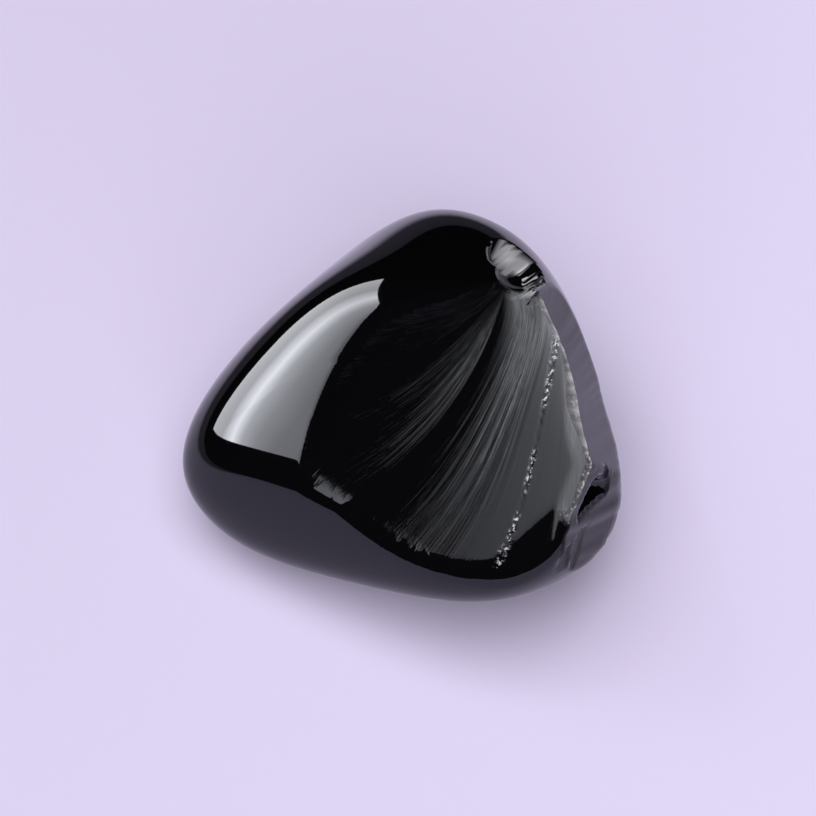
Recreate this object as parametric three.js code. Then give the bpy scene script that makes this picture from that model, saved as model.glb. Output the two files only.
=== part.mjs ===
// A hand-sized chunk of obsidian: one tumbled, water-smooth pebble of volcanic glass with a
// conchoidal break on its right half. Millimetres, +Z up. The origin is at the middle of the
// bounding box, on the flat spot that the stone rests on.
//
// The stone is star-shaped about a heart point: every vertex lies on its own ray from the heart,
// where stoneField() is zero. The field is negative inside, and is the largest of its parts:
// the worn pebble, the break, the steep right side, the chips at its top and the resting flat.

import * as THREE from "three";

// Driving dimensions
const heartHeight = 16;            // heart point above the resting flat
const wear = 7;                    // how squarely the worn faces meet: higher is sharper
const wearScale = 18;              // turns the worn faces' gauge into millimetres
const restRounding = 1.2;          // blend between the resting flat and the pebble

// Worn faces of the pebble: azimuth and elevation of the outward direction in degrees,
// and distance from the heart.
const wornFaces = {
  top: [246, 57.5, 13.1],
  leftSlope: [202.5, 55, 14],
  topBack: [101, 68.5, 15.7],
  upperLeft: [137, 30, 17.8],
  left: [162.5, 12.5, 23.4],
  leftFront: [235, 17, 32.5],
  front: [239.5, 17.5, 16.9],
  frontRight: [303, -5, 29.1],
  right: [7.5, 10, 23.5],
  rightBack: [25.5, 28.5, 24.8],
  back: [55, 1, 28.3],
  underLeft: [180.5, -56, 23.3],
  underFront: [275.5, -64, 17.3],
  underRight: [1.5, -59, 20.8],
  underBack: [52, -45, 17.9],
};

// Places on the right shoulder where the pebble is fuller than its worn faces: right, up and out
// in the break's frame, how far the fullness spreads and how much it adds.
const shoulders = [
  [16.5, 9, 12.5, 4, 2.2],
  [19.5, 2, 15.5, 4.5, 2.2],
  [22, -6, 19, 6, 2.8],
];

// The break lies along a plane that faces front and up. Places in it are counted to the left
// and down from the strike, the point where the blow landed, and out from the heart.
const breakElevation = 52;
const strike = { right: 11.8, up: 13.7 };
const streakRadius = 40;           // the streaks are arcs of this radius that start at the strike
const crestBearing = -0.244;       // bearing of the crest between the two flutes, radians
const breakFloor = 7.2;            // height of the break at the strike
const breakRise = 0.31;            // its slope away from the strike
const breakDrop = 0.0064;          // and how that slope turns over further down
const fluteReach = 28;             // distance at which the flutes stop deepening
const rightFlute = { slope: 0.11, steepen: 0.44, within: 0.42 };
const leftFlute = { slope: 0.46, hollow: 0.6 };
const strikeLip = { start: 1, rise: 0.12 };
const leftRim = { left: 13.2, down: -0.8, bearing: 25.3, reach: 2.5, rise: 0.13 };
const upperRim = { down: 5, rise: 0.05, from: 1, to: 7 };
const toe = { steepness: 0.35, left: -5.44, down: 24.2, corner: 0.3, blend: 0.1 };
const ridgeLip = { width: 0.5, widen: 1.8, slope: 0.05, steepen: 0.11, blend: 0.03 };
const crispEdge = 0.06;            // blend along the fresh edges of the break
const softEdge = 1.2;              // extra blend where tumbling has worn them away

// Steep facets down the right side: outward direction as right, up and out, and distance.
const rightFacets = [
  [0.8, 0.5, 0.34, 22.06],
  [0.92, 0.31, 0.32, 23],
  [0.87, 0.42, 0.49, 25.25],
  [1, 0.28, 0, 22.95],
  [1, 0, 0, 25],
  [0.85, -0.35, 0.39, 27.1],
];

// Chips: centre as right, up and out, radius, how much shorter distances count outward, and the
// flat each stops at as its outward direction and its depth below the centre.
const chips = [
  [[12.3, 17.2, 2], 2.5, 0.45, [-0.3, 0.45, 0.84], 1.9],
  [[13.3, 15.5, 7], 2.75, 0.5, [0, 0, 1], 6],
  [[22.6, -11.4, 14.5], 3.8, 1, [0.71, 0.245, 0.65], 1.7],
  [[21.2, -16, 12.4], 2.9, 1, [0.62, -0.32, 0.72], 1.2],
];

// Mesh: rings about a pole that points at the strike, and meridians whose turns about it are
// counted from the middle of the break. The break reaches breakLean down from the pole.
const poleDirection = direction(20, 51);
const breakLean = 1.7;
const breakRings = 34;
const restRings = 15;
const leftSpan = 1.15;             // turn taken by the left flute's meridians, left of the crest
const sideSpan = 0.35;             // and by the right side's, right of the ridge
const meridians = { left: 22, flute: 30, side: 8, rest: 32 };
const search = { from: -1.9, to: 1.5, steps: 170, firstLean: 0.15, halvings: 14 };
const innerRadius = 5;
const outerRadius = 48;
const bisections = 34;
const flatTolerance = 0.01;

function direction(azimuth, elevation) {
  const a = THREE.MathUtils.degToRad(azimuth);
  const e = THREE.MathUtils.degToRad(elevation);
  return new THREE.Vector3(Math.cos(a) * Math.cos(e), Math.sin(a) * Math.cos(e), Math.sin(e));
}

const right = new THREE.Vector3(1, 0, 0);
const out = direction(270, breakElevation);
const up = new THREE.Vector3().crossVectors(out, right);

function fromBreakFrame(r, u, o) {
  return new THREE.Vector3().addScaledVector(right, r).addScaledVector(up, u).addScaledVector(out, o);
}

function ease(value, from, to) {
  const t = THREE.MathUtils.clamp((value - from) / (to - from), 0, 1);
  return t * t * (3 - 2 * t);
}

// The larger of a and b, with the corner between them rounded over a width of 2 * blend.
function softMax(a, b, blend) {
  const share = THREE.MathUtils.clamp(0.5 + (0.5 * (a - b)) / blend, 0, 1);
  return b + (a - b) * share + blend * share * (1 - share);
}

const faces = Object.values(wornFaces).map(([azimuth, elevation, distance]) => ({
  normal: direction(azimuth, elevation),
  distance,
}));

const fullSpots = shoulders.map(([r, u, o, spread, fullness]) => ({
  centre: fromBreakFrame(r, u, o),
  spread,
  fullness,
}));

function pebbleField(p) {
  let sum = 0;
  for (const { normal, distance } of faces) {
    sum += Math.max(0, p.dot(normal) / distance) ** wear;
  }
  let field = (sum ** (1 / wear) - 1) * wearScale;
  for (const { centre, spread, fullness } of fullSpots) {
    field -= fullness * Math.exp(-((p.distanceTo(centre) / spread) ** 2));
  }
  return field;
}

// Where a point lies on the break: left and down from the strike, distance from it, and the
// bearing of the streak through it, which grows to the right.
function onBreak(p) {
  const left = strike.right - p.dot(right);
  const down = strike.up - p.dot(up);
  const reach = Math.hypot(left, down) + 1e-9;
  const bend = Math.asin(Math.min(1, reach / (2 * streakRadius)));
  return { left, down, reach, bearing: bend - Math.atan2(left, down) };
}

const rimAcross = {
  left: Math.cos(THREE.MathUtils.degToRad(leftRim.bearing)),
  down: -Math.sin(THREE.MathUtils.degToRad(leftRim.bearing)),
};

// Height of a flute at a turn from the crest, as a share of its depth.
function fluteShape(fromCrest) {
  if (fromCrest < 0) {
    return leftFlute.slope * fromCrest + leftFlute.hollow * fromCrest ** 2;
  }
  const { slope, steepen, within } = rightFlute;
  return slope * fromCrest + steepen * within * Math.log(Math.cosh(fromCrest / within));
}

// How far the right flute's foot turns down past the two lines that meet at the toe.
function toeDrop(left, down) {
  const across = 0.69 * (left - toe.left) - 0.72 * (down - toe.down);
  const along = -0.54 * (down - toe.down) - 0.84 * (left - toe.left);
  const past = -softMax(across, along, toe.corner);
  return (toe.steepness * (past + Math.sqrt(past ** 2 + toe.blend))) / 2;
}

// How far the right flute curls up beside the right ridge: a slope that starts ridgeLip.width
// short of the ridge, and both grow further down.
function lipRise(reach, side) {
  const onto = ridgeLip.width + ridgeLip.widen * ease(reach, 8, 20) + side;
  const slope = ridgeLip.slope + ridgeLip.steepen * ease(reach, 4, 18);
  return (slope * (onto + Math.sqrt(onto ** 2 + ridgeLip.blend))) / 2;
}

function breakHeight({ left, down, reach, bearing }, side) {
  const fromCrest = bearing - crestBearing;
  const depth = fluteReach * Math.tanh(reach / fluteReach);
  let height = breakFloor + breakRise * down - breakDrop * down ** 2;
  height += depth * fluteShape(fromCrest);
  height += strikeLip.rise * Math.max(0, strikeLip.start - down) ** 2;
  if (fromCrest < 0) {
    const pastRim = rimAcross.left * (left - leftRim.left) + rimAcross.down * (down - leftRim.down);
    height += leftRim.rise * Math.max(0, pastRim + leftRim.reach) ** 2;
  }
  height += upperRim.rise * Math.max(0, upperRim.down - down) ** 2 * ease(left, upperRim.from, upperRim.to);
  height += lipRise(reach, side) * ease(fromCrest, 0.2, 0.5);
  return height - toeDrop(left, down);
}

function breakWear({ reach, bearing }) {
  const leftWear = ease(-bearing, 0.35, 0.9) * ease(reach, 1, 7);
  const lowWear = ease(reach, 26, 33);
  return crispEdge + softEdge * Math.max(leftWear, lowWear);
}

const facets = rightFacets.map(([r, u, o, distance]) => {
  const normal = fromBreakFrame(r, u, o);
  const length = normal.length();
  return { normal: normal.divideScalar(length), distance: distance / length };
});

function chipField(p, [centre, radius, shorter, flat, depth]) {
  const r = p.dot(right) - centre[0];
  const u = p.dot(up) - centre[1];
  const o = p.dot(out) - centre[2];
  const ball = radius - Math.hypot(r, u, o * shorter);
  return Math.min(ball, flat[0] * r + flat[1] * u + flat[2] * o + depth);
}

function sideField(p) {
  return Math.max(...facets.map(({ normal, distance }) => p.dot(normal) - distance));
}

function stoneField(p) {
  const place = onBreak(p);
  const side = sideField(p);
  let field = softMax(pebbleField(p), p.dot(out) - breakHeight(place, side), breakWear(place));
  field = softMax(field, side, crispEdge);
  for (const chip of chips) {
    field = Math.max(field, chipField(p, chip));
  }
  return softMax(field, -heartHeight - p.z, restRounding);
}

function surfacePoint(ray) {
  let inside = innerRadius;
  let outside = outerRadius;
  const p = new THREE.Vector3();
  for (let i = 0; i < bisections; i += 1) {
    const middle = (inside + outside) / 2;
    p.copy(ray).multiplyScalar(middle);
    if (stoneField(p) < 0) {
      inside = middle;
    } else {
      outside = middle;
    }
  }
  return p.copy(ray).multiplyScalar((inside + outside) / 2);
}

const toward = up.clone().negate();
toward.addScaledVector(poleDirection, -toward.dot(poleDirection)).normalize();
const beside = new THREE.Vector3().crossVectors(poleDirection, toward);

function makeRay(lean, turn) {
  const ray = poleDirection.clone().multiplyScalar(Math.cos(lean));
  ray.addScaledVector(toward, Math.sin(lean) * Math.cos(turn));
  return ray.addScaledVector(beside, Math.sin(lean) * Math.sin(turn));
}

function bearingAt(lean, turn) {
  return onBreak(surfacePoint(makeRay(lean, turn))).bearing;
}

function onRightSide(lean, turn) {
  const p = surfacePoint(makeRay(lean, turn));
  const side = sideField(p);
  return side > p.dot(out) - breakHeight(onBreak(p), side);
}

// The turn between from and to at which test first comes true.
function firstTurn(from, to, test) {
  const step = (search.to - search.from) / search.steps;
  let turn = from;
  while (turn < to && !test(turn)) {
    turn += step;
  }
  let low = turn - step;
  let high = turn;
  for (let i = 0; i < search.halvings; i += 1) {
    const middle = (low + high) / 2;
    if (test(middle)) {
      high = middle;
    } else {
      low = middle;
    }
  }
  return high;
}

// The turns at which the crest and the right ridge cross the ring with this lean. Rings nearer
// the pole or past the foot of the break use the nearest ring that they cross.
function ridgeTurns(lean) {
  const crossed = THREE.MathUtils.clamp(lean, search.firstLean, breakLean - 0.1);
  const crest = firstTurn(search.from, search.to, (turn) => bearingAt(crossed, turn) > crestBearing);
  const ridge = firstTurn(crest + 0.1, search.to, (turn) => onRightSide(crossed, turn));
  return { crest, ridge };
}

function ringTurns(lean) {
  const { crest, ridge } = ridgeTurns(lean);
  const leftEnd = crest - leftSpan;
  const turns = [];
  const addSpan = (from, to, count) => {
    for (let i = 0; i < count; i += 1) {
      turns.push(from + ((to - from) * i) / count);
    }
  };
  addSpan(leftEnd, crest, meridians.left);
  addSpan(crest, ridge, meridians.flute);
  addSpan(ridge, ridge + sideSpan, meridians.side);
  addSpan(ridge + sideSpan, leftEnd + 2 * Math.PI, meridians.rest);
  return turns;
}

const meridianCount = Object.values(meridians).reduce((sum, count) => sum + count, 0);
const ringCount = breakRings + restRings;

function makeRays() {
  const rays = [poleDirection.clone()];
  for (let ring = 1; ring < ringCount; ring += 1) {
    const past = Math.max(0, ring - breakRings);
    const lean = (breakLean * Math.min(ring, breakRings)) / breakRings
      + ((Math.PI - breakLean) * past) / restRings;
    for (const turn of ringTurns(lean)) {
      rays.push(makeRay(lean, turn));
    }
  }
  rays.push(poleDirection.clone().negate());
  return rays;
}

function makeTriangles() {
  const triangles = [];
  const vertex = (ring, m) => 1 + (ring - 1) * meridianCount + (m % meridianCount);
  const lastPole = 1 + (ringCount - 1) * meridianCount;
  for (let m = 0; m < meridianCount; m += 1) {
    triangles.push(0, vertex(1, m), vertex(1, m + 1));
    triangles.push(lastPole, vertex(ringCount - 1, m + 1), vertex(ringCount - 1, m));
    for (let ring = 1; ring < ringCount - 1; ring += 1) {
      const a = vertex(ring, m);
      const b = vertex(ring + 1, m);
      const c = vertex(ring + 1, m + 1);
      const d = vertex(ring, m + 1);
      triangles.push(a, b, c, a, c, d);
    }
  }
  return triangles;
}

function makeStone() {
  const points = makeRays().map(surfacePoint);
  for (const p of points) {
    p.z += heartHeight;
    if (p.z < flatTolerance) {
      p.z = 0;
    }
  }
  const box = new THREE.Box3().setFromPoints(points);
  const middle = box.getCenter(new THREE.Vector3());
  const geometry = new THREE.BufferGeometry();
  const positions = points.flatMap((p) => [p.x - middle.x, p.y - middle.y, p.z]);
  geometry.setAttribute("position", new THREE.Float32BufferAttribute(positions, 3));
  geometry.setIndex(makeTriangles());
  geometry.computeVertexNormals();
  const glass = new THREE.MeshStandardMaterial({ color: 0x0b0b0d, roughness: 0.08, metalness: 0 });
  const stone = new THREE.Mesh(geometry, glass);
  stone.name = "obsidian_chunk";
  return stone;
}

const group = new THREE.Group();
group.add(makeStone());

export default group;
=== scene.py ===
import math
import bpy
import numpy as np
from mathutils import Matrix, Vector


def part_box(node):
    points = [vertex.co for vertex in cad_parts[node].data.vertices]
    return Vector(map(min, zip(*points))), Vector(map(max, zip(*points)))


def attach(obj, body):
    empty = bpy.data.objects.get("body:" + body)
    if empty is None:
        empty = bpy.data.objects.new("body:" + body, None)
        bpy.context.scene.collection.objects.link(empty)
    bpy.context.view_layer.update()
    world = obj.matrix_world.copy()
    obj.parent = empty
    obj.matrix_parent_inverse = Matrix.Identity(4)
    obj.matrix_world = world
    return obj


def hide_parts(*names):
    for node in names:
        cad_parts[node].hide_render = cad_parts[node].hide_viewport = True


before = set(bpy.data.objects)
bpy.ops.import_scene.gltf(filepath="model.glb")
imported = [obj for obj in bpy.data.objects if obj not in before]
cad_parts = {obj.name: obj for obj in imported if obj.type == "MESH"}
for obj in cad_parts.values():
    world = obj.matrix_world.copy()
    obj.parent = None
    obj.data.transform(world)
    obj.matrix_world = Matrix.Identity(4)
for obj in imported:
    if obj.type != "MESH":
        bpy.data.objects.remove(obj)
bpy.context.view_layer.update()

mm = 0.001


# unit vector at an azimuth and elevation in degrees
def direction(azimuth, elevation):
    a, e = math.radians(azimuth), math.radians(elevation)
    return np.array([math.cos(a) * math.cos(e), math.sin(a) * math.cos(e), math.sin(e)])


# smooth step from 0 at low to 1 at high
def ease(value, low, high):
    t = np.clip((value - low) / (high - low), 0, 1)
    return t * t * (3 - 2 * t)


# the larger of a and b, the corner between them rounded over 2 * blend
def softMax(a, b, blend):
    share = np.clip(0.5 + 0.5 * (a - b) / blend, 0, 1)
    return b + (a - b) * share + blend * share * (1 - share)


# 0 below zero and the value above it, rounded between: (v + sqrt(v^2 + blend)) / 2
def ramp(value, blend):
    return (value + np.sqrt(value ** 2 + blend)) / 2


# smooth noise from -1 to 1: random values on a lattice of whole numbers, eased between
def noise(seed, *coords):
    table = np.random.default_rng(seed).uniform(-1, 1, 4096)
    cells = [np.floor(c) for c in coords]
    eased = [ease(c - f, 0, 1) for c, f in zip(coords, cells)]
    strides = (1, 57, 1301)
    total = 0
    for corner in range(2 ** len(coords)):
        index, weight = 0, 1
        for k in range(len(coords)):
            step = corner >> k & 1
            index = index + (cells[k].astype(int) + step) * strides[k]
            weight = weight * (eased[k] if step else 1 - eased[k])
        total = total + weight * table[index % len(table)]
    return total


pebble = {                     # the tumbled pebble, before the break: millimetres
    "heartHeight": 16,         # every ray starts at the heart
    "wear": 7,                 # how squarely the worn faces meet
    "wearScale": 18,
    "faces": {                 # azimuth, elevation, distance from the heart
        "top": (246, 57.5, 13.1),
        "leftSlope": (202.5, 55, 14),
        "topBack": (101, 68.5, 15.7),
        "upperLeft": (137, 30, 17.8),
        "left": (162.5, 12.5, 23.4),
        "leftFront": (235, 17, 32.5),
        "front": (239.5, 17.5, 16.9),
        "frontRight": (303, -5, 29.1),
        "right": (7.5, 10, 23.5),
        "rightBack": (25.5, 28.5, 24.8),
        "back": (55, 1, 28.3),
        "underLeft": (180.5, -56, 23.3),
        "underFront": (275.5, -64, 17.3),
        "underRight": (1.5, -59, 20.8),
        "underBack": (52, -45, 17.9),
    },
    "shoulders": (             # fuller here: right, up and out; spread; how much
        ((16.5, 9, 12.5), 4, 2.2),
        ((19.5, 2, 15.5), 4.5, 2.2),
        ((22, -6, 19), 6, 2.8),
    ),
    "unevenness": 0.035,       # faint hollows left by tumbling
    "unevenSpan": 7,
    "restRounding": 1.2,
}

breakFace = {                  # the conchoidal break; bearings and turns are in radians
    "elevation": 52,           # which way it faces: front and up
    "strike": (11.8, 13.7),    # where the blow landed, right and up on the break's plane
    "streakRadius": 40,        # the streaks are arcs that start at the strike
    "crest": -0.244,           # bearing of the crest between the two flutes
    "floor": 7.2,              # height at the strike, and its slope and drop further down
    "rise": 0.31,
    "drop": 0.0064,
    "fluteReach": 28,          # the flutes stop deepening about this far from the strike
    "rightFlute": (0.11, 0.44, 0.42),   # slope at the crest, how much it steepens, within what turn
    "leftFlute": (0.46, 0.60), # slope at the crest and how fast it turns over
    "strikeRim": (1, 0.12),    # the rims curl up: where each starts and how fast it rises
    "leftRim": (9.7752, 0.13),
    "leftRimAcross": (0.904, -0.428),   # its direction, left and down
    "topRim": (5, 0.05),
    "toe": (-5.44, 24.2),      # left and down to the point of the right flute's foot
    "toeSteepness": 0.35,
    "toeLines": ((0.69, -0.72), (-0.84, -0.54)),   # the directions that its two lines face
    "toeCorner": 0.3,
    "toeBlend": 0.1,
    "lip": (0.5, 1.8, 0.05, 0.12),   # the flute's curled right edge: width and its gain further
                               # down, slope and its gain
    "lipBlend": 0.03,
    "crispEdge": 0.06,         # rounding of fresh edges, and of those that tumbling wore
    "softEdge": 1.2,
}

rightFacets = (                # the steep broken side: right, up and out, and distance
    (0.80, 0.50, 0.34, 22.06),
    (0.92, 0.31, 0.32, 23.0),
    (0.87, 0.42, 0.49, 25.25),
    (1.0, 0.28, 0.0, 22.95),
    (1.0, 0.0, 0.0, 25.0),
    (0.85, -0.35, 0.39, 27.1),
)

# chips, each a ball cut off by a flat: its centre right, up and out, its radius, how much less
# distances count outward, the flat's outward direction and depth below the centre, and how
# rough and how pale the flat is: on the shelf the paleness is a painted highlight, on the others crushed
# glass
chips = {
    "shelf": ((12.3, 17.2, 2.0), 2.5, 0.45, (-0.3, 0.45, 0.84), 1.9, 0.05, 0.45),
    "hollow": ((13.3, 15.5, 7.0), 2.75, 0.5, (0, 0, 1), 6, 0.1, 0.02),
    "crumb": ((15.0, 14.9, 6.5), 1.5, 0.5, (0.3, 0.3, 0.9), 1.5, 1.2, 0.15),
    "upperNick": ((20.0, 4.8, 12.9), 0.9, 1, (0, 0, 1), 1, 0.5, 0),
    "lowerNick": ((22.9, -7.8, 14.0), 1.0, 1, (0, 0, 1), 1, 0.5, 0),
    "sideFlake": ((22.6, -11.4, 14.5), 3.8, 1, (0.71, 0.245, 0.65), 1.7, 0.02, 0),
    "footFlake": ((21.2, -16.0, 12.4), 2.9, 1, (0.62, -0.32, 0.72), 1.2, 0.4, 0.05),
    "footChip": ((19.2, -17.2, 14.6), 2.0, 1, (0.45, -0.5, 0.74), 0.9, 0.3, 0.03),
}

rightAxis = np.array([1.0, 0, 0])
outAxis = direction(270, breakFace["elevation"])
upAxis = np.cross(outAxis, rightAxis)
breakAxes = np.stack([rightAxis, upAxis, outAxis])


# gauge of the worn faces: the sum of each face's reach to the power wear, rooted
def pebbleField(p):
    total = np.zeros(len(p))
    for azimuth, elevation, distance in pebble["faces"].values():
        total += np.maximum(0, p @ direction(azimuth, elevation) / distance) ** pebble["wear"]
    field = (total ** (1 / pebble["wear"]) - 1) * pebble["wearScale"]
    for centre, spread, fullness in pebble["shoulders"]:
        away = np.linalg.norm(p - np.array(centre) @ breakAxes, axis=1)
        field = field - fullness * np.exp(-(away / spread) ** 2)
    return field + pebble["unevenness"] * noise(3, *(p / pebble["unevenSpan"] + 40).T)


# left and down from the strike, reach from it, and the bearing of the streak through the point:
# the turn to the point less the bend of an arc of streakRadius over that reach
def onBreak(p):
    left = breakFace["strike"][0] - p @ rightAxis
    down = breakFace["strike"][1] - p @ upAxis
    reach = np.hypot(left, down) + 1e-9
    bend = np.arcsin(np.minimum(1, reach / (2 * breakFace["streakRadius"])))
    return left, down, reach, bend - np.arctan2(left, down)


streaks = {                    # fine hackle: heights as shares of a streak's own width
    "frequencies": (30, 60, 120, 240),
    "width": 0.22,             # streaks this wide, in millimetres, stand out most
    "bundle": 0.11,            # on the right flute beside the crest
    "plain": 0.012,            # on the rest of it
    "left": 0.05,
    "combing": (2.5, 7, 4),    # least reach, and where and over what length the turning fades
    "starts": (3, 7),          # reach over which they grow, and turn beyond which they fade
    "fades": (1.05, 1.35),
}


# the streaks of the right flute turn further right near the strike: the turn from the crest is
# divided by 1 + exp(-(reach - middle) / length)
def combed(reach, bearing):
    fromCrest = bearing - breakFace["crest"]
    least, middle, length = streaks["combing"]
    spread = 1 + np.exp(-(np.maximum(reach, least) - middle) / length)
    return breakFace["crest"] + fromCrest / np.where(fromCrest > 0, spread, 1)


# fine hackle: noise across the bearing, drawn out along the reach, in octaves that take over
# from each other so the streaks keep their width as they fan out
def hackle(reach, bearing):
    total = 0
    there = ease(reach, *streaks["starts"]) * (1 - ease(bearing - breakFace["crest"], *streaks["fades"]))
    bearing = combed(reach, bearing)
    for k, frequency in enumerate(streaks["frequencies"]):
        width = reach / frequency
        weight = np.exp(-(np.log(np.maximum(width, 1e-3) / streaks["width"]) / 0.7) ** 2)
        streak = noise(11 + k, bearing * frequency + 500, reach * 0.06 + 3 * k + 50)
        total = total + weight * width * streak
    fromCrest = bearing - breakFace["crest"]
    bundles = ease(fromCrest, 0.05, 0.16) * (1 - ease(fromCrest, 0.42, 0.56))
    bundles = bundles * (0.7 + 0.5 * noise(17, bearing * 16 + 90, reach * 0.05 + 9))
    right = streaks["plain"] + streaks["bundle"] * bundles
    left = streaks["left"] * (1 - 0.6 * ease(-fromCrest, 0.3, 1))
    return total * np.where(fromCrest > 0, right, left) * there


crack = {                      # the fine crack down the right flute
    "bearing": 0.36,
    "starts": (7, 9),          # reach over which it starts and ends
    "ends": (33, 34),
    "edge": (0.07, 0.12),      # height and half width of its raised edge, and of its nicks
    "nicks": (0.08, 0.22),
}


# raised edge h * exp(-(d / w)^2) at a distance d across from the crack, in dashes and nicked
def crackHeight(reach, bearing):
    bearing = combed(reach, bearing)
    across = (bearing - crack["bearing"]) * reach
    there = ease(reach, *crack["starts"]) * (1 - ease(reach, *crack["ends"]))
    (edgeRise, edgeWidth), (nickRise, nickWidth) = crack["edge"], crack["nicks"]
    dashes = 0.5 + 0.8 * noise(51, reach * 3.3 + 7)
    nicks = noise(52, bearing * 45 + 80, reach * 4.5) * ease(noise(53, reach * 0.45 + 3), -0.1, 0.4)
    edge = edgeRise * dashes * np.exp(-(across / edgeWidth) ** 2)
    return there * (edge + nickRise * nicks * np.exp(-(across / nickWidth) ** 2))


# height of the flutes: the right one reach * (s * b + d * w * log(cosh(b / w))) and the left one
# reach * (s * b + h * b^2) for a turn b from the crest
def fluteHeight(reach, fromCrest):
    slope, steepen, within = breakFace["rightFlute"]
    rightFlute = slope * fromCrest + steepen * within * np.log(np.cosh(fromCrest / within))
    slope, turnOver = breakFace["leftFlute"]
    leftFlute = slope * fromCrest + turnOver * fromCrest ** 2
    depth = breakFace["fluteReach"] * np.tanh(reach / breakFace["fluteReach"])
    return depth * np.where(fromCrest > 0, rightFlute, leftFlute)


# height of the rims that curl up at the strike, the left and the top: rise * past^2 for a
# distance past the rim's start
def rimHeight(left, down, fromCrest):
    (start, strikeRise), (leftStart, leftRise) = breakFace["strikeRim"], breakFace["leftRim"]
    (topStart, topRise), (acrossLeft, acrossDown) = breakFace["topRim"], breakFace["leftRimAcross"]
    atStrike = strikeRise * np.maximum(0, start - down) ** 2
    pastLeft = np.maximum(0, acrossLeft * left + acrossDown * down - leftStart)
    atTop = topRise * np.maximum(0, topStart - down) ** 2 * ease(left, 1, 7)
    return atStrike + np.where(fromCrest < 0, leftRise * pastLeft ** 2, 0) + atTop


# how far the right flute's foot turns down, past the two lines that meet at the toe
def toeDrop(left, down):
    left, down = left - breakFace["toe"][0], down - breakFace["toe"][1]
    (a, b), (c, d) = breakFace["toeLines"]
    past = -softMax(a * left + b * down, c * left + d * down, breakFace["toeCorner"])
    return breakFace["toeSteepness"] * ramp(past, breakFace["toeBlend"])


# how far the right flute curls up beside the right ridge: a slope that starts a width short of it
def lipRise(reach, side):
    width, widen, slope, steepen = breakFace["lip"]
    onto = width + widen * ease(reach, 8, 20) + side
    return (slope + steepen * ease(reach, 4, 18)) * ramp(onto, breakFace["lipBlend"])


# height over the break's plane: a slope r * down - d * down^2, the flutes and rims, the toe and
# the lip, with the fine streaks and the crack on top
def breakHeight(left, down, reach, bearing, side):
    fromCrest = bearing - breakFace["crest"]
    height = breakFace["floor"] + breakFace["rise"] * down - breakFace["drop"] * down ** 2
    height = height + fluteHeight(reach, fromCrest) + rimHeight(left, down, fromCrest)
    height = height - toeDrop(left, down) + lipRise(reach, side) * ease(fromCrest, 0.2, 0.5)
    return height + hackle(reach, bearing) + crackHeight(reach, bearing)


# the farthest facet of the broken side
def sideField(p):
    facets = np.array(rightFacets)
    normals = facets[:, :3] @ breakAxes
    lengths = np.linalg.norm(normals, axis=1)
    return np.max((p @ normals.T - facets[:, 3]) / lengths, axis=1)


# a little waviness that serrates the ridge
def serration(reach):
    ripple = 0.10 * noise(31, reach * 0.9 + 20) + 0.05 * noise(33, reach * 2.3 + 20)
    return (ripple + 0.02 * noise(32, reach * 4.5 + 20)) * ease(reach, 3, 7)


# for each chip, how far each point lies inside its ball, and above its flat
def chipParts(p):
    inBreak = p @ breakAxes.T
    parts = []
    for centre, radius, shorter, flat, depth, roughness, paleAndHighlit in chips.values():
        away = inBreak - centre
        ball = radius - np.linalg.norm(away * (1, 1, shorter), axis=1)
        parts.append((ball, away @ np.array(flat) + depth, roughness, paleAndHighlit))
    return parts


# the stone as the largest of its parts: pebble, break, broken side, chips and resting flat;
# negative inside, zero on the surface
def stoneField(p):
    left, down, reach, bearing = onBreak(p)
    side = sideField(p)
    broken = p @ outAxis - breakHeight(left, down, reach, bearing, side)
    leftWear = ease(-bearing, 0.35, 0.9) * ease(reach, 1, 7)
    lowWear = ease(reach, 26, 33)
    worn = breakFace["crispEdge"] + breakFace["softEdge"] * np.maximum(leftWear, lowWear)
    field = softMax(pebbleField(p), broken, worn)
    field = softMax(field, side + serration(reach), breakFace["crispEdge"])
    onFlute = broken >= field - 0.02
    rough = 0.10 * noise(41, *(p * 1.1 + 60).T) + 0.05 * noise(42, *(p * 3 + 60).T)
    for ball, flat, roughness, _ in chipParts(p):
        field = np.maximum(field, rough * roughness + np.minimum(ball, flat))
    field = softMax(field, -pebble["heartHeight"] - p[:, 2], pebble["restRounding"])
    return field, onFlute


paintedRidgeHighlight = {                   # painted highlight: a pale band along the right ridge, standing in for its bright edge reflection
    "ridgeWidth": 0.12,        # half width of the painted highlight band on the right ridge, millimetres
    "ridgeHighlightPale": 0.7,
    "ridgeHighlightSpecks": 0.8,
    "ridgeFoot": (19, 23),     # reach over which it weakens
}


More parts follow.
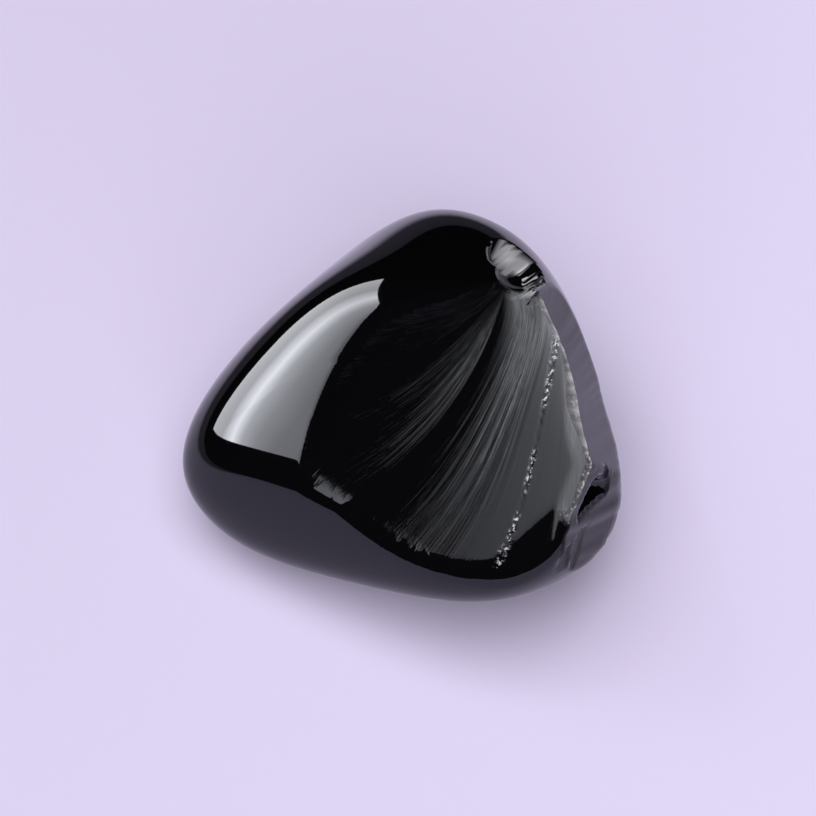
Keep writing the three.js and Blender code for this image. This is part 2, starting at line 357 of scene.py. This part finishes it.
# where the glass is painted pale: crushed glass on the flats of chips, a painted highlight on the
# shelf's flat and along the right ridge; and where
# it is specked: crushed specks along the crack, painted highlight specks along the ridge: exp(-(d /
# w)^2) at a distance d from each
def paleAndHighlightAt(p):
    left, down, reach, bearing = onBreak(p)
    side = sideField(p)
    broken = p @ outAxis - breakHeight(left, down, reach, bearing, side)
    across = (combed(reach, bearing) - crack["bearing"]) * reach / crack["nicks"][1]
    speckedAndHighlit = np.exp(-across ** 2) * ease(reach, *crack["starts"]) * (broken > -0.15)
    speckedAndHighlit = speckedAndHighlit * ease(noise(53, reach * 0.45 + 3), -0.4, 0.3)
    # painted highlight: the pale, specked band along the right ridge stands in for the bright reflection
    # along its edge
    fromRidge = np.hypot(side, broken) / paintedRidgeHighlight["ridgeWidth"]
    nearRidge = np.exp(-fromRidge ** 2) * ease(reach, 1, 3)
    speckedAndHighlit = np.maximum(speckedAndHighlit, paintedRidgeHighlight["ridgeHighlightSpecks"] * nearRidge)
    pale = paintedRidgeHighlight["ridgeHighlightPale"] * nearRidge * (1 - 0.6 * ease(reach, *paintedRidgeHighlight["ridgeFoot"]))
    pale = pale * (0.8 + 0.4 * noise(56, reach * 2.1 + 9))
    mottle = 1 + 0.5 * noise(57, *((p @ breakAxes.T)[:, :2] * 0.9 + 50).T)
    # the shelf's pale flat is a painted highlight; the pale on the other flats is crushed glass
    for ball, flat, roughness, paleAndHighlit in chipParts(p):
        onFlat = (np.abs(flat) < 0.05 + 0.15 * roughness) & (ball > 0)
        pale = np.where(onFlat, paleAndHighlit * mottle, pale)
    return pale, speckedAndHighlit


# distance to the surface along each ray from the heart, by halving
def surfaceAlong(rays, steps=34):
    inside, outside = np.full(len(rays), 5.0), np.full(len(rays), 48.0)
    for _ in range(steps):
        middle = (inside + outside) / 2
        within = stoneField(rays * middle[:, None])[0] < 0
        inside = np.where(within, middle, inside)
        outside = np.where(within, outside, middle)
    return rays * ((inside + outside) / 2)[:, None]


grid = {                       # the stone's mesh
    "pole": (20, 51),          # the rings lie round the strike
    "breakRings": 130,         # rings out to the far end of the break, then the rest
    "breakLean": 1.70,
    "crowding": 1.25,          # rings crowd towards the strike
    "search": (-1.9, 2.2, 420),   # turns searched for the crest and the ridge
    "lastTurn": 1.5,
    "firstLean": 0.13,         # rings closer in than this do not cross the right ridge
    "atStrike": (0.08, 1.2),   # lean and turn where its meridian starts
    "restRings": 44,
    "leftFlute": (1.15, 190),  # bearing span left of the crest and its meridians
    "rightFlute": 210,
    "side": (0.35, 40),
    "rest": 90,
}


# unit rays: cos(lean) * pole + sin(lean) * (cos(turn) * toward + sin(turn) * beside)
def raysFrom(leans, turns):
    pole = direction(*grid["pole"])
    toward = -upAxis + (upAxis @ pole) * pole
    toward /= np.linalg.norm(toward)
    beside = np.cross(pole, toward)
    across = np.cos(turns)[..., None] * toward + np.sin(turns)[..., None] * beside
    return np.cos(leans)[..., None] * pole + np.sin(leans)[..., None] * across


# for each ring, the turns at which it crosses the crest and the right ridge; rings that miss
# them take their neighbours'
def ridgeTurns(leans):
    turns = np.linspace(*grid["search"])
    rays = raysFrom(np.repeat(leans[:, None], len(turns), 1), np.repeat(turns[None], len(leans), 0))
    points = surfaceAlong(rays.reshape(-1, 3), 24)
    bearing = onBreak(points)[3].reshape(len(leans), -1)
    onFlute = stoneField(points)[1].reshape(len(leans), -1)
    crest = turns[np.argmax(bearing > breakFace["crest"], axis=1)]
    rightFlute = onFlute & (turns > crest[:, None]) & (turns < grid["lastTurn"])
    ridge = turns[len(turns) - 1 - np.argmax(rightFlute[:, ::-1], axis=1)]
    found = rightFlute.any(1) & (leans > grid["firstLean"]) & (leans < grid["breakLean"])
    on, off = ridge.copy(), ridge + turns[1] - turns[0]
    for _ in range(9):
        middle = (on + off) / 2
        within = stoneField(surfaceAlong(raysFrom(leans, middle)))[1]
        on, off = np.where(within, middle, on), np.where(within, off, middle)
    lean, turn = grid["atStrike"]
    ridge = np.interp(leans, [lean, *leans[found]], [turn, *on[found]])
    return np.interp(leans, leans[found], crest[found]), ridge


# a vertex for each ring and meridian; the meridians crowd on the break, and one of them
# follows the crest and one the right ridge
def gridTurns(leans):
    crest, ridge = ridgeTurns(leans)
    leftSpan, leftCount = grid["leftFlute"]
    sideSpan, sideCount = grid["side"]
    stops = [crest - leftSpan, crest, ridge, ridge + sideSpan, crest - leftSpan + 2 * math.pi]
    counts = [leftCount, grid["rightFlute"], sideCount, grid["rest"]]
    parts = []
    for start, stop, count in zip(stops, stops[1:], counts):
        parts.append(start[:, None] + (stop - start)[:, None] * np.arange(count) / count)
    return np.concatenate(parts, axis=1)


# faces between neighbouring rings, and fans of triangles round the two poles
def quadsAndCaps(rings, meridians):
    ring = 1 + meridians * np.arange(rings - 1)[:, None]
    here = np.arange(meridians)
    after = (here + 1) % meridians
    quads = np.stack([ring + here, ring + meridians + here, ring + meridians + after, ring + after], -1)
    last = 1 + meridians * (rings - 1)
    top = np.stack([0 * here, 1 + here, 1 + after], -1)
    bottom = np.stack([0 * here + last + meridians, last + after, last + here], -1)
    return quads.reshape(-1, 4).tolist() + top.tolist() + bottom.tolist()


glass = {                      # the finish
    "color": (0.002, 0.002, 0.0025, 1),
    "ior": 1.5,
    "tint": (0.88, 0.90, 1, 1),
    "polished": 0.03,          # roughness of the pebble and of the flutes
    "broken": 0.06,
    "pebbleShine": 0.5,        # specular level of the pebble, the flutes and the broken side
    "fluteShine": 0.24,
    "sideShine": 0.15,
    # pale colour of crushed glass, also used for the painted highlight on the right ridge and the shelf
    "crushedAndHighlightColor": (0.62, 0.61, 0.66, 1),
    "crushedAndHighlightRoughness": 0.45,
    "speckScale": 2600,        # specks per metre, and how much of the noise counts as one
    "speckEdge": (0.52, 0.62),
    "hairs": (110, 0.07, 0.00006),   # hairlines per radian, per millimetre of reach, and height
    "hairDetail": (3, 0.6),
    "sparse": (0.4, 0.55, 0.25),     # between these turns from the crest the hairlines weaken to this
}


# the glass's values at each vertex: how strongly it shines, how crushed and specked it is, with the
# painted highlights on the right ridge and the shelf, and for the hairlines their place (bearing, reach,
# 1 on the flutes) and their depth
def glassValues(points):
    _, _, reach, bearing = onBreak(points)
    onFlute = stoneField(points)[1]
    onSide = ~onFlute & (sideField(points) > -0.25)
    offFlute = np.where(onSide, glass["sideShine"], glass["pebbleShine"])
    crushedAndHighlit, speckedAndHighlit = paleAndHighlightAt(points)
    bearing = combed(reach, bearing)
    fromCrest = bearing - breakFace["crest"]
    dense, bare, weakest = glass["sparse"]
    lined = np.where(fromCrest > 0, 1 - (1 - weakest) * ease(fromCrest, dense, bare), 1.0)
    return {
        "streakPlace": np.stack([bearing, reach, onFlute * 1.0], 1),
        "streakDepth": onFlute * lined * (0.75 + 0.5 * noise(61, bearing * 9 + 30)),
        "shine": np.where(onFlute, glass["fluteShine"], offFlute),
        "crushedAndHighlit": crushedAndHighlit,
        "speckedAndHighlit": speckedAndHighlit,
    }


# every vertex lies on its own ray from the heart, where stoneField is zero; the whole is then
# fitted to the box of the part it dresses
def makeStone():
    breakLeans = grid["breakLean"] * np.linspace(0, 1, grid["breakRings"] + 1)[1:] ** grid["crowding"]
    restLeans = np.linspace(grid["breakLean"], math.pi, grid["restRings"] + 1)[1:-1]
    leans = np.concatenate([breakLeans, restLeans])
    turns = gridTurns(leans)
    rays = raysFrom(np.repeat(leans[:, None], turns.shape[1], 1), turns).reshape(-1, 3)
    pole = direction(*grid["pole"])
    points = surfaceAlong(np.vstack([pole, rays, -pole]))
    values = glassValues(points)
    points[:, 2] += pebble["heartHeight"]
    low, high = points.min(0), points.max(0)
    boxLow, boxHigh = np.array(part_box("obsidian_chunk"))
    print("stone", np.round(high - low, 2), "in a frame of", np.round((boxHigh - boxLow) / mm, 2))
    points = (points - low) / (high - low) * (boxHigh - boxLow) + boxLow
    heart = boxLow - low * mm + (0, 0, pebble["heartHeight"] * mm)
    mesh = bpy.data.meshes.new("obsidian_stone")
    mesh.from_pydata(points.tolist(), [], quadsAndCaps(len(leans), turns.shape[1]))
    mesh.polygons.foreach_set("use_smooth", np.ones(len(mesh.polygons), bool))
    for name, value in values.items():
        vector = value.ndim > 1
        attribute = mesh.attributes.new(name, "FLOAT_VECTOR" if vector else "FLOAT", "POINT")
        attribute.data.foreach_set("vector" if vector else "value", value.ravel())
    mesh.update()
    stone = bpy.data.objects.new("obsidian_stone", mesh)
    bpy.context.collection.objects.link(stone)
    print("stone", len(mesh.vertices), "vertices, heart at", np.round(heart, 5))
    return stone, heart


# a new material with its node tree and its Principled shader
def newMaterial(name):
    material = bpy.data.materials.new(name)
    material.use_nodes = True
    return material, material.node_tree, material.node_tree.nodes["Principled BSDF"]


# an attribute node that reads one of the stone's values
def stoneValue(nodes, name):
    value = nodes.new("ShaderNodeAttribute")
    value.attribute_name = name
    return value


# how pale the glass is, from crushing and from painted highlights: its crushed-and-highlight value, or
# its specked value where a noise passes speckEdge
def paleGrainsAndHighlight(nodes, links):
    place, specks = nodes.new("ShaderNodeTexCoord"), nodes.new("ShaderNodeTexNoise")
    bright, times = nodes.new("ShaderNodeMapRange"), nodes.new("ShaderNodeMath")
    most = nodes.new("ShaderNodeMath")
    specks.inputs["Scale"].default_value = glass["speckScale"]
    bright.inputs["From Min"].default_value = glass["speckEdge"][0]
    bright.inputs["From Max"].default_value = glass["speckEdge"][1]
    times.operation = "MULTIPLY"
    most.operation = "MAXIMUM"
    links.new(place.outputs["Object"], specks.inputs["Vector"])
    links.new(specks.outputs["Fac"], bright.inputs["Value"])
    links.new(bright.outputs["Result"], times.inputs[0])
    links.new(stoneValue(nodes, "speckedAndHighlit").outputs["Fac"], times.inputs[1])
    links.new(times.outputs[0], most.inputs[0])
    links.new(stoneValue(nodes, "crushedAndHighlit").outputs["Fac"], most.inputs[1])
    return most.outputs[0]


# hairlines finer than the mesh: a bump of noise drawn out along the streaks, times streakDepth
def hairlines(nodes, links, streakPlace):
    stretch, hairs = nodes.new("ShaderNodeMapping"), nodes.new("ShaderNodeTexNoise")
    height, bump = nodes.new("ShaderNodeMath"), nodes.new("ShaderNodeBump")
    perRadian, perReach, distance = glass["hairs"]
    stretch.inputs["Scale"].default_value = (perRadian, perReach, 0)
    hairs.inputs["Scale"].default_value = 1
    hairs.inputs["Detail"].default_value = glass["hairDetail"][0]
    hairs.inputs["Roughness"].default_value = glass["hairDetail"][1]
    height.operation = "MULTIPLY"
    bump.inputs["Strength"].default_value = 1
    bump.inputs["Distance"].default_value = distance
    links.new(streakPlace, stretch.inputs["Vector"])
    links.new(stretch.outputs["Vector"], hairs.inputs["Vector"])
    links.new(hairs.outputs["Fac"], height.inputs[0])
    links.new(stoneValue(nodes, "streakDepth").outputs["Fac"], height.inputs[1])
    links.new(height.outputs[0], bump.inputs["Height"])
    return bump.outputs["Normal"]


# black glass: clear gloss on the pebble, a weaker and streaked one on the flutes, and pale grains
# where it is crushed or specked, which also paint the highlight on the right ridge and the shelf
def obsidianGlass():
    material, tree, shader = newMaterial("obsidian_glass")
    nodes, links = tree.nodes, tree.links
    shader.inputs["IOR"].default_value = glass["ior"]
    shader.inputs["Specular Tint"].default_value = glass["tint"]
    links.new(stoneValue(nodes, "shine").outputs["Fac"], shader.inputs["Specular IOR Level"])
    streakPlace = stoneValue(nodes, "streakPlace").outputs["Vector"]
    split, rough = nodes.new("ShaderNodeSeparateXYZ"), nodes.new("ShaderNodeMapRange")
    rough.inputs["To Min"].default_value = glass["polished"]
    rough.inputs["To Max"].default_value = glass["broken"]
    links.new(streakPlace, split.inputs[0])
    links.new(split.outputs["Z"], rough.inputs["Value"])
    colour, coarse = nodes.new("ShaderNodeMix"), nodes.new("ShaderNodeMix")
    colour.data_type = "RGBA"
    colour.inputs["A"].default_value = glass["color"]
    colour.inputs["B"].default_value = glass["crushedAndHighlightColor"]
    coarse.inputs["B"].default_value = glass["crushedAndHighlightRoughness"]
    pale = paleGrainsAndHighlight(nodes, links)
    links.new(pale, colour.inputs["Factor"])
    links.new(pale, coarse.inputs["Factor"])
    links.new(rough.outputs["Result"], coarse.inputs["A"])
    links.new(colour.outputs["Result"], shader.inputs["Base Color"])
    links.new(coarse.outputs["Result"], shader.inputs["Roughness"])
    links.new(hairlines(nodes, links, streakPlace), shader.inputs["Normal"])
    return material


floorLook = {
    "color": (0.70, 0.63, 0.86, 1),
    # painted shade on the far floor, seen only in the stone's reflections
    "paintedShadeColor": (0.06, 0.055, 0.075, 1),
    "near": 0.075,             # metres behind the stone and to its left
    "far": 0.125,
}


# painted shade: the floor behind the stone and to its left is painted darker in the stone's reflections
# only, for the light falling off there: the share of the painted shade colour eases from 0 to 1 over y -
# 0.8 x from near to far
def paleFloor():
    material, tree, shader = newMaterial("pale_floor")
    nodes, links = tree.nodes, tree.links
    shader.inputs["Roughness"].default_value = 0.9
    shader.inputs["Specular IOR Level"].default_value = 0.1
    place, behind = nodes.new("ShaderNodeTexCoord"), nodes.new("ShaderNodeVectorMath")
    behind.operation = "DOT_PRODUCT"
    behind.inputs[1].default_value = (-0.8, 1, 0)
    far, path = nodes.new("ShaderNodeMapRange"), nodes.new("ShaderNodeLightPath")
    mirrored = nodes.new("ShaderNodeMath")
    far.interpolation_type = "SMOOTHSTEP"
    far.inputs["From Min"].default_value = floorLook["near"]
    far.inputs["From Max"].default_value = floorLook["far"]
    mirrored.operation = "MULTIPLY"
    colour = nodes.new("ShaderNodeMix")
    colour.data_type = "RGBA"
    colour.inputs["A"].default_value = floorLook["color"]
    colour.inputs["B"].default_value = floorLook["paintedShadeColor"]
    links.new(place.outputs["Object"], behind.inputs[0])
    links.new(behind.outputs["Value"], far.inputs["Value"])
    links.new(far.outputs["Result"], mirrored.inputs[0])
    links.new(path.outputs["Is Glossy Ray"], mirrored.inputs[1])
    links.new(mirrored.outputs[0], colour.inputs["Factor"])
    links.new(colour.outputs["Result"], shader.inputs["Base Color"])
    return material


studio = {
    "floorHalfWidth": 0.4,
    "softbox": ((-0.484, 0.121, 0.060), (-0.108, 0.454, 0.138),
                (-0.227, -0.229, 0.470), (-0.64, -0.565, 0.374)),
    "softboxStrength": 19,
    "softboxEnd": (0.45, 0.6), # along its length it dims from here to this share at its right end
    "softboxFall": ((0, 0.44), (0.16, 0.42), (0.235, 0.8), (0.262, 0.98), (0.29, 0.78),
                    (0.335, 0.48), (0.42, 0.31), (0.52, 0.21), (1, 0.12)),
    "fills": {                 # place, diameter and power
        "overheadFill": ((-0.2, -0.3, 1.4), 2.0, 27),
        "frontFill": ((0.0, -1.1, 0.6), 1.2, 9),
        "sideFill": ((-0.42, 0.2, 0.42), 0.35, 3.2),
    },
    "backdrop": (0.72, 0.66, 0.87, 1),
}


# one flat square
def makeFloor():
    mesh = bpy.data.meshes.new("floor")
    w = studio["floorHalfWidth"]
    mesh.from_pydata([(-w, -w, 0), (w, -w, 0), (w, w, 0), (-w, w, 0)], [], [(0, 1, 2, 3)])
    floor = bpy.data.objects.new("floor", mesh)
    bpy.context.collection.objects.link(floor)
    floor.data.materials.append(paleFloor())


# a leaning panel whose glow is strongest in a stripe along its lower edge
def makeSoftbox():
    mesh = bpy.data.meshes.new("softbox")
    mesh.from_pydata(studio["softbox"], [], [(0, 1, 2, 3)])
    mesh.uv_layers.new(name="UVMap").data.foreach_set("uv", [0, 0, 0, 1, 1, 1, 1, 0])
    softbox = bpy.data.objects.new("softbox", mesh)
    bpy.context.collection.objects.link(softbox)
    material = bpy.data.materials.new("softbox_cloth")
    material.use_nodes = True
    nodes, links = material.node_tree.nodes, material.node_tree.links
    nodes.clear()
    glow, output = nodes.new("ShaderNodeEmission"), nodes.new("ShaderNodeOutputMaterial")
    place, across = nodes.new("ShaderNodeUVMap"), nodes.new("ShaderNodeSeparateXYZ")
    place.uv_map = "UVMap"
    fall, strength = nodes.new("ShaderNodeValToRGB"), nodes.new("ShaderNodeMath")
    stops = fall.color_ramp.elements
    for k, (position, value) in enumerate(studio["softboxFall"]):
        stop = stops[k] if k < 2 else stops.new(position)
        stop.position, stop.color = position, (value, value, value, 1)
    strength.operation = "MULTIPLY"
    strength.inputs[1].default_value = studio["softboxStrength"]
    along, both = nodes.new("ShaderNodeMapRange"), nodes.new("ShaderNodeMath")
    along.interpolation_type = "SMOOTHSTEP"
    along.inputs["From Min"].default_value = studio["softboxEnd"][0]
    along.inputs["To Min"].default_value = 1
    along.inputs["To Max"].default_value = studio["softboxEnd"][1]
    both.operation = "MULTIPLY"
    links.new(place.outputs["UV"], across.inputs[0])
    links.new(across.outputs["X"], fall.inputs["Fac"])
    links.new(across.outputs["Y"], along.inputs["Value"])
    links.new(fall.outputs["Color"], both.inputs[0])
    links.new(along.outputs["Result"], both.inputs[1])
    links.new(both.outputs[0], strength.inputs[0])
    links.new(strength.outputs[0], glow.inputs["Strength"])
    links.new(glow.outputs["Emission"], output.inputs["Surface"])
    mesh.materials.append(material)
    softbox.visible_camera = softbox.visible_diffuse = False


# a round lamp that looks at the stone and is not itself seen
def makeFill(name, place, size, energy):
    light = bpy.data.lights.new(name, "AREA")
    light.shape, light.size, light.energy = "DISK", size, energy
    fill = bpy.data.objects.new(name, light)
    bpy.context.collection.objects.link(fill)
    fill.location = place
    fill.rotation_euler = (Vector((0, 0, 0.016)) - fill.location).to_track_quat("-Z", "Y").to_euler()
    fill.visible_camera = fill.visible_glossy = False


# pale to the camera, dark in the reflections
def makeWorld():
    world = bpy.data.worlds.new("studio")
    bpy.context.scene.world = world
    world.use_nodes = True
    nodes, links = world.node_tree.nodes, world.node_tree.links
    dark, pale = nodes["Background"], nodes.new("ShaderNodeBackground")
    dark.inputs["Color"].default_value = (0, 0, 0, 1)
    pale.inputs["Color"].default_value = studio["backdrop"]
    mix, path = nodes.new("ShaderNodeMixShader"), nodes.new("ShaderNodeLightPath")
    links.new(path.outputs["Is Camera Ray"], mix.inputs["Fac"])
    links.new(dark.outputs["Background"], mix.inputs[1])
    links.new(pale.outputs["Background"], mix.inputs[2])
    links.new(mix.outputs["Shader"], nodes["World Output"].inputs["Surface"])


view = {
    "elevation": 52,
    "lens": 160,
    "sensor": 36,
    "frameWidth": 0.09315,     # metres across the frame, at the stone's heart
    "aim": (0.0007, 0.0003),   # right of the heart and below it
}


# the camera looks square onto the break's plane
def makeCamera(heart):
    camera = bpy.data.cameras.new("camera")
    camera.lens, camera.sensor_width = view["lens"], view["sensor"]
    holder = bpy.data.objects.new("camera", camera)
    bpy.context.collection.objects.link(holder)
    back = direction(270, view["elevation"])
    aim = heart + view["aim"][0] * rightAxis - view["aim"][1] * np.cross(back, rightAxis)
    holder.location = aim + back * view["frameWidth"] * view["lens"] / view["sensor"]
    holder.rotation_euler = Vector(-back).to_track_quat("-Z", "Y").to_euler()
    bpy.context.scene.camera = holder


stone, heart = makeStone()
stone.data.materials.append(obsidianGlass())
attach(stone, "root")
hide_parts("obsidian_chunk")
print("stone dressed in obsidian_glass")

makeFloor()
makeSoftbox()
for fillName, fillValues in studio["fills"].items():
    makeFill(fillName, *fillValues)
makeWorld()
makeCamera(heart)
bpy.context.scene.view_settings.view_transform = "Standard"
print("stage, lights and camera ready")
